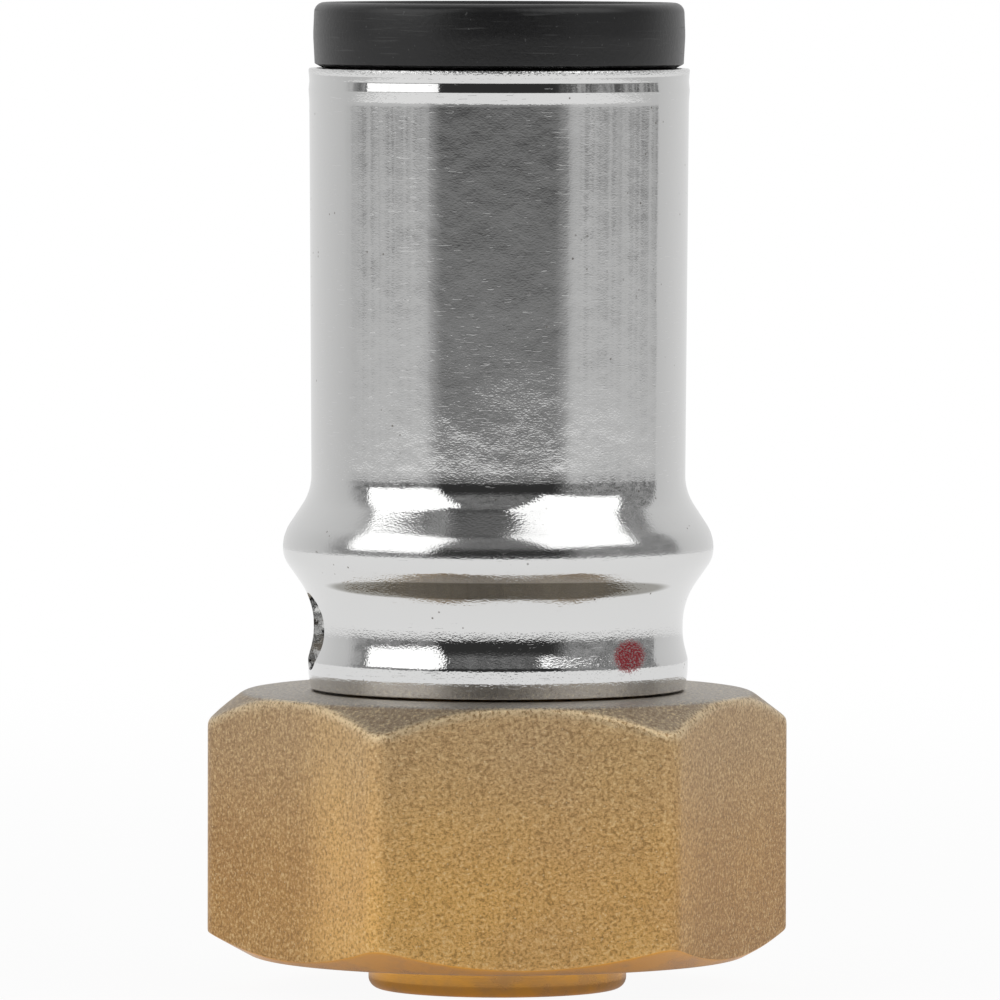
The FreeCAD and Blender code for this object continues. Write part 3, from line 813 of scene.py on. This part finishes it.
class COUPLING_OT_studio(bpy.types.Operator):
    """White table, soft boxes, surroundings and camera"""
    bl_idname = "coupling.studio"
    bl_label = "Studio"

    def execute(self, context):
        sizes = context.scene.coupling_studio
        self.table(sizes)
        self.surroundings()
        for name, (way, width, height) in SOFT_BOXES.items():
            self.soft_box(sizes, name, way, width, height)

        eye = bpy.data.cameras.new("camera")
        eye.lens = sizes.lens
        eye.clip_start = 0.01
        eye.clip_end = 20.0
        camera = bpy.data.objects.new("camera", eye)
        camera.location = (0, -sizes.distance, sizes.height)
        aim = Vector((sizes.aside, 0, sizes.aim)) - camera.location
        turn = aim.to_track_quat("-Z", "Y").to_matrix() @ Matrix.Rotation(sizes.roll, 3, "Z")
        camera.rotation_euler = turn.to_euler()
        context.scene.collection.objects.link(camera)
        context.scene.camera = camera
        context.scene.view_settings.view_transform = "Standard"
        return {"FINISHED"}

    def soft_box(self, sizes, name, way, width, height):
        """A rectangular lamp that faces the sleeve from that direction."""
        light = bpy.data.lights.new("soft_box_" + name, "AREA")
        light.shape = "RECTANGLE"
        light.size = width
        light.size_y = height
        light.energy = sizes.lamp_glow * math.pi * width * height
        box = bpy.data.objects.new(light.name, light)
        middle = Vector((0, 0, sizes.lamp_aim))
        box.location = middle + Vector(way).normalized() * sizes.lamp_distance
        box.rotation_euler = Vector(way).to_track_quat("Z", "Y").to_euler()
        bpy.context.scene.collection.objects.link(box)

    def table(self, sizes):
        """A round white table that shows white to the camera and keeps a soft shadow."""
        mesh = bmesh.new()
        bmesh.ops.create_circle(mesh, cap_ends=True, segments=128, radius=sizes.floor)
        material = bpy.data.materials.new("white_table")
        tree = Tree(material)
        x, y, _ = tree.parts(tree.place())
        out = (x * x + y * y).math("SQRT")
        far = out.ramp(40.0, 250.0)
        # Painted shadow: close to the nut, the table glows less in reflections.
        clear = out.ramp(9.0, 22.0)
        camera = tree.node("ShaderNodeLightPath", output="Is Camera Ray")
        glossy = tree.node("ShaderNodeLightPath", output="Is Glossy Ray")
        share = camera * (0.94 + far * 0.06) + glossy * sizes.table_glow * (0.35 + clear * 0.65)
        paper = tree.node("ShaderNodeBsdfDiffuse", None, {"Color": (0.8, 0.8, 0.8, 1.0)})
        white = tree.node("ShaderNodeEmission", None, {"Color": (1.0, 1.0, 1.0, 1.0)})
        both = tree.node("ShaderNodeMixShader", None, {0: share, 1: paper, 2: white})
        tree.show(both)
        table = piece("table", mesh, [material])

    def surroundings(self):
        """White behind, darker in front, white to the camera."""
        world = bpy.data.worlds.new("studio")
        bpy.context.scene.world = world
        tree = Tree(world)
        way = tree.node("ShaderNodeTexCoord", output="Generated")
        x, y, z = tree.parts(way)
        flat = (x * x + y * y).math("SQRT")
        facing = (y * -1.0) / flat.math("MAXIMUM", 0.001)
        right = x.ramp(-0.2, 0.2)
        behind = (right * facing.ramp(-0.385, -0.415)
                  + (1.0 - right) * facing.ramp(0.0, -0.35))
        middle = facing.ramp(0.66, 0.84)
        beneath = z.ramp(0.004, -0.062)
        clutter = tree.noise(way, 22.0, 2.0, 0.6).ramp(0.36, 0.62)
        side = (0.10 + clutter * 0.34) * (1.0 - beneath) + beneath * 0.62
        shelf = z.ramp(0.25, 0.45) * z.ramp(0.86, 0.74)
        front = (0.035 + beneath * 0.22 + shelf * (clutter * 0.22 + 0.04)
                 + z.ramp(0.80, 0.92) * 0.14)
        room = side + middle * (front - side)
        backdrop = 0.54 - facing * 0.25
        level = room + behind * (backdrop - room)
        seen = tree.node("ShaderNodeLightPath", output="Is Camera Ray")
        strength = seen + (1.0 - seen) * level
        glow = tree.node("ShaderNodeBackground", None,
                         {"Color": (1.0, 1.0, 1.0, 1.0), "Strength": strength})
        tree.show(glow, "ShaderNodeOutputWorld")


class COUPLING_PT_panel(bpy.types.Panel):
    """Lists the coupling's pieces and sizes"""
    bl_idname = "COUPLING_PT_panel"
    bl_label = "Pipe Coupling"
    bl_space_type = "VIEW_3D"
    bl_region_type = "UI"
    bl_category = "Coupling"

    def draw(self, context):
        """A button for each piece, then a box of sizes for each group."""
        scene = context.scene
        for operator in OPERATORS:
            self.layout.operator(operator.bl_idname)
        for name, group in SETTINGS.items():
            box = self.layout.box()
            box.label(text=group.__doc__)
            for setting in group.__annotations__:
                box.prop(getattr(scene, name), setting)


SETTINGS = {
    "coupling_sleeve": CouplingSleeve,
    "coupling_nut": CouplingNut,
    "coupling_ring": CouplingRing,
    "coupling_finish": CouplingFinish,
    "coupling_studio": CouplingStudio,
}
OPERATORS = [COUPLING_OT_sleeve, COUPLING_OT_nut, COUPLING_OT_ring, COUPLING_OT_inner_parts,
             COUPLING_OT_studio]
CLASSES = [*SETTINGS.values(), *OPERATORS, COUPLING_PT_panel]


def register():
    """Add the classes and the scene's settings."""
    for kind in CLASSES:
        bpy.utils.register_class(kind)
    for name, group in SETTINGS.items():
        setattr(bpy.types.Scene, name, PointerProperty(type=group))


def unregister():
    """Take them away again."""
    for name in SETTINGS:
        delattr(bpy.types.Scene, name)
    for kind in reversed(CLASSES):
        bpy.utils.unregister_class(kind)


def main():
    """Build everything in order."""
    register()
    bpy.ops.coupling.studio()
    bpy.ops.coupling.sleeve()
    bpy.ops.coupling.nut()
    bpy.ops.coupling.ring()
    bpy.ops.coupling.inner_parts()


if __name__ == "__main__":
    main()
